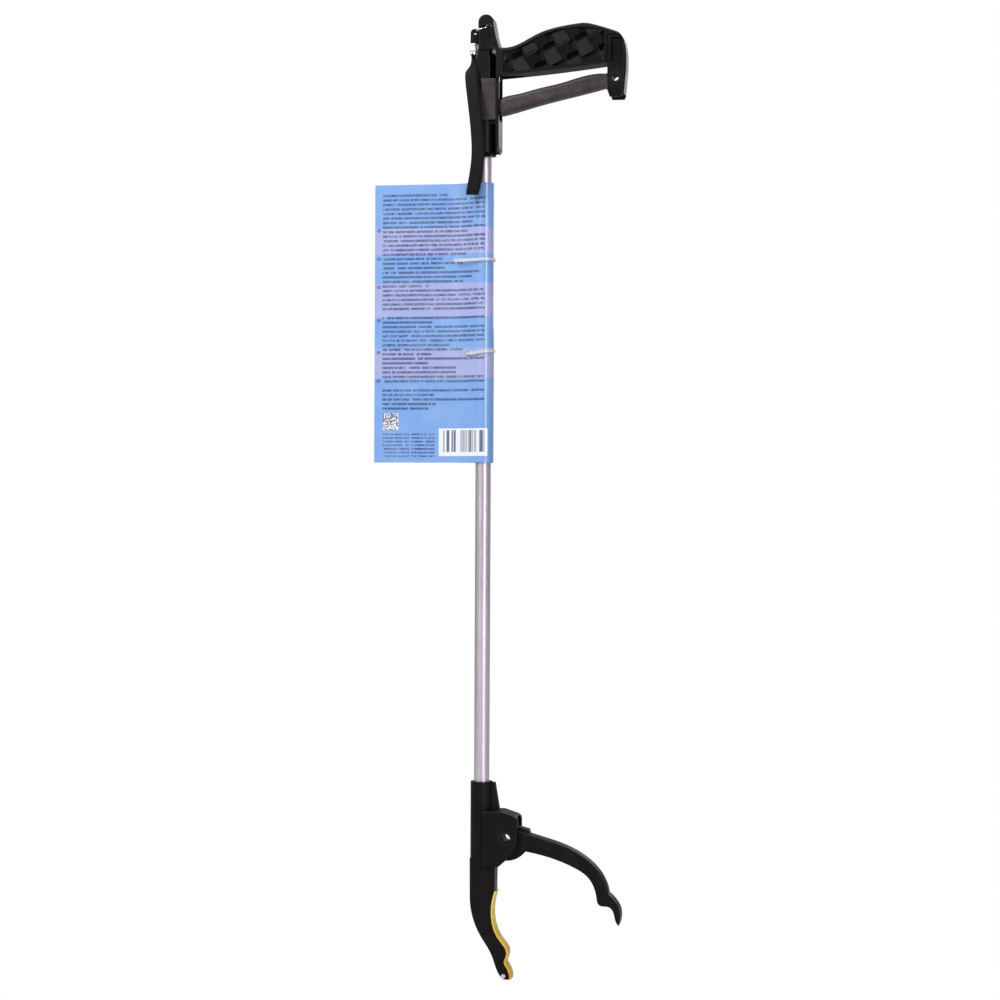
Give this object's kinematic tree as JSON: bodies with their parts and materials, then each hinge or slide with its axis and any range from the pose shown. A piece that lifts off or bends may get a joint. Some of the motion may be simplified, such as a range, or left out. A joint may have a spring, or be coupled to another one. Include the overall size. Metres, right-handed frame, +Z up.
{
  "type": "reacher grabber",
  "caption": "Long-handled reaching tool: squeezing the trigger pulls a rod inside the tube and swings the movable jaw shut against a rubber-lined fixed jaw.",
  "frame": {"origin": "middle of the trigger axle's bore, in the handle's end post", "axes": "+Z up along the tube from the jaws to the handle, +X from the tube towards the grip's end, +Y along the trigger axle"},
  "size_m": [0.2156, 0.0346, 0.812],
  "materials": {
    "black_moulding": "moulded, satin black",
    "satin_moulding": "moulded, fine grained dark grey",
    "axle_moulding": "moulded, smooth black",
    "guide_moulding": "moulded, natural white",
    "tube_aluminium": "drawn and anodised, satin",
    "rivet_aluminium": "bright",
    "rod_steel": "drawn, zinc plated",
    "spring_steel": "spring wire, bright",
    "pin_steel": "ground and polished",
    "lining_rubber": "moulded, soft, yellow",
    "magnet_plating": "nickel plated",
    "ring_steel": "nickel plated wire",
    "clamp_metal": "folded sheet, plated",
    "webbing": "woven, black",
    "card_film": "printed card under glossy film",
    "clear_nylon": "moulded, translucent"
  },
  "bodies": {
    "frame": {"handle_body": "black_moulding", "trigger_axle": "axle_moulding", "travel_stop_pin": "pin_steel", "tube": "tube_aluminium", "tube_rivets": "rivet_aluminium", "upper_rod_guide": "guide_moulding", "lower_rod_guide": "guide_moulding", "return_spring": "spring_steel", "jaw_body": "black_moulding", "jaw_lining": "lining_rubber", "jaw_axle": "axle_moulding", "tip_magnet": "magnet_plating", "lanyard_ring": "ring_steel", "strap_ring_fold": "webbing", "strap_clamp": "clamp_metal", "wrist_strap": "webbing", "instruction_card": "card_film", "card_tie_upper": "clear_nylon", "card_tie_lower": "clear_nylon"},
    "trigger": {"trigger": "satin_moulding"},
    "pull": {"slider_core": "satin_moulding", "slider_plate_front": "satin_moulding", "slider_plate_rear": "satin_moulding", "slider_cross_pin": "pin_steel", "rod_nut": "rod_steel", "pull_rod": "rod_steel", "spring_collar": "guide_moulding", "rod_yoke": "rod_steel"},
    "jaw": {"movable_jaw": "black_moulding", "lever_pin": "pin_steel"}
  },
  "joints": [
    {"name": "trigger_pivot", "type": "hinge", "parent": "frame", "child": "trigger", "pos_m": [0, 0, 0], "axis": [0, 1, 0], "range_deg": [0, 11], "stiffness_Nm_per_rad": 3.3, "springref_deg": -5.73},
    {"name": "rod_slide", "type": "slide", "parent": "frame", "child": "pull", "axis": [0, 0, 1], "range_m": [0, 0.02043], "deforming": ["return_spring"]},
    {"name": "jaw_pivot", "type": "hinge", "parent": "frame", "child": "jaw", "pos_m": [-0.0894, 0, -0.6368], "axis": [0, 1, 0], "range_deg": [0, 51.2]}
  ],
  "couplings": [
    {"joint": "rod_slide", "follows": "trigger_pivot", "m_per_rad": 0.10638},
    {"joint": "jaw_pivot", "follows": "trigger_pivot", "ratio": 4.6545}
  ]
}
